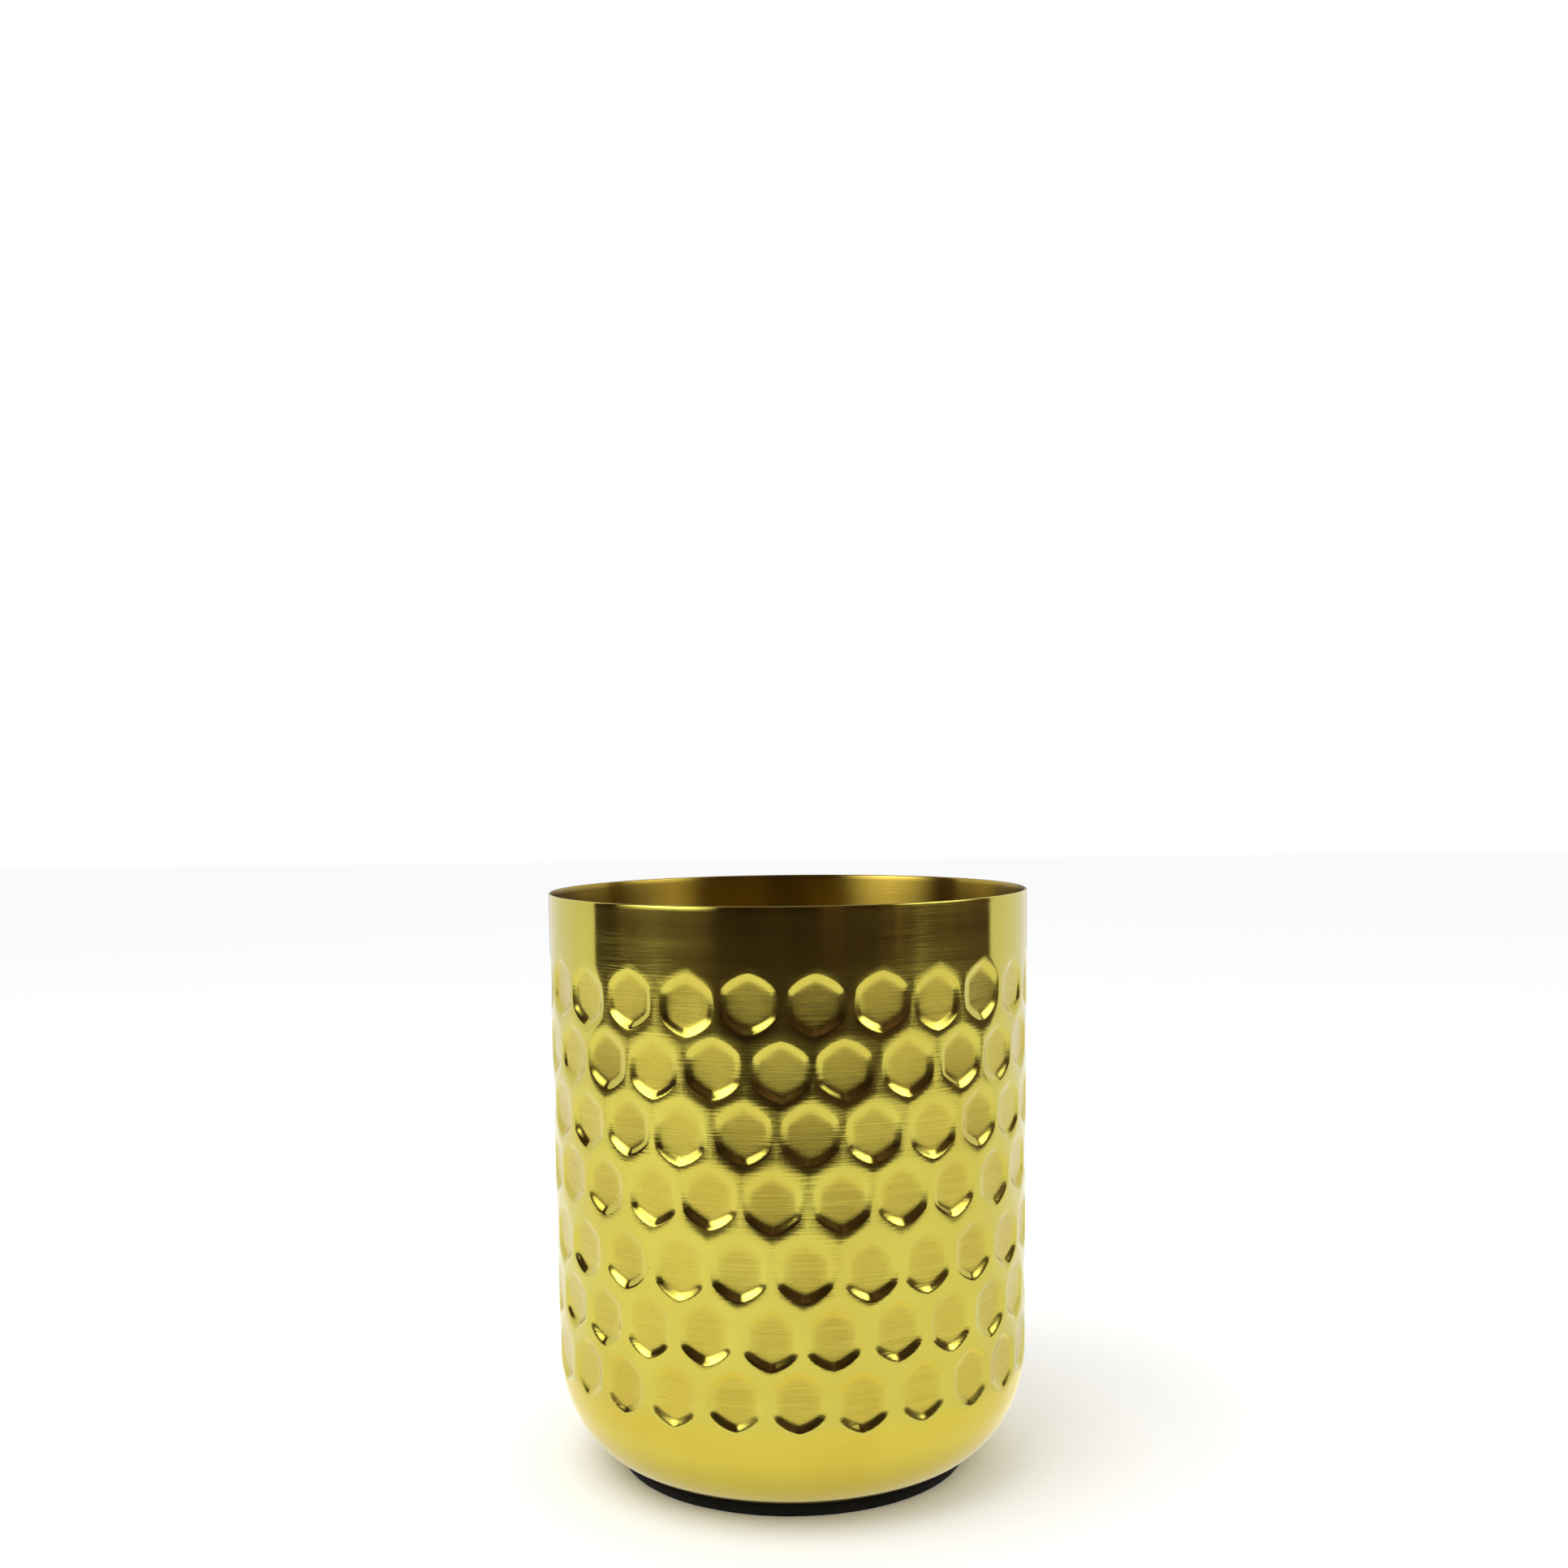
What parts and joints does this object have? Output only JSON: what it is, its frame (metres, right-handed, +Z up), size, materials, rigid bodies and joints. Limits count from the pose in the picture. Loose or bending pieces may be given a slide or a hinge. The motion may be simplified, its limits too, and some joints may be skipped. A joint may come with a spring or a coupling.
{
  "type": "planter pot",
  "caption": "Round spun brass planter pot with hexagonal dimples pressed into its wall, a rounded bottom edge and a felt pad under its base.",
  "frame": {"origin": "centre of the underside of the felt pad, on the surface that the pot stands on", "axes": "+Z up along the pot's axis, out of its mouth; -Y is the front, and +X is to the right when the pot is seen from the front"},
  "size_m": [0.16, 0.16, 0.1885],
  "materials": {
    "brass": "lacquered satin brass, polished in the dimples' bevels",
    "felt": "pressed black felt",
    "adhesive": "double-sided adhesive film"
  },
  "bodies": {
    "root": {"pot_shell": "brass", "base_pad": "felt", "pad_adhesive": "adhesive"}
  },
  "joints": []
}
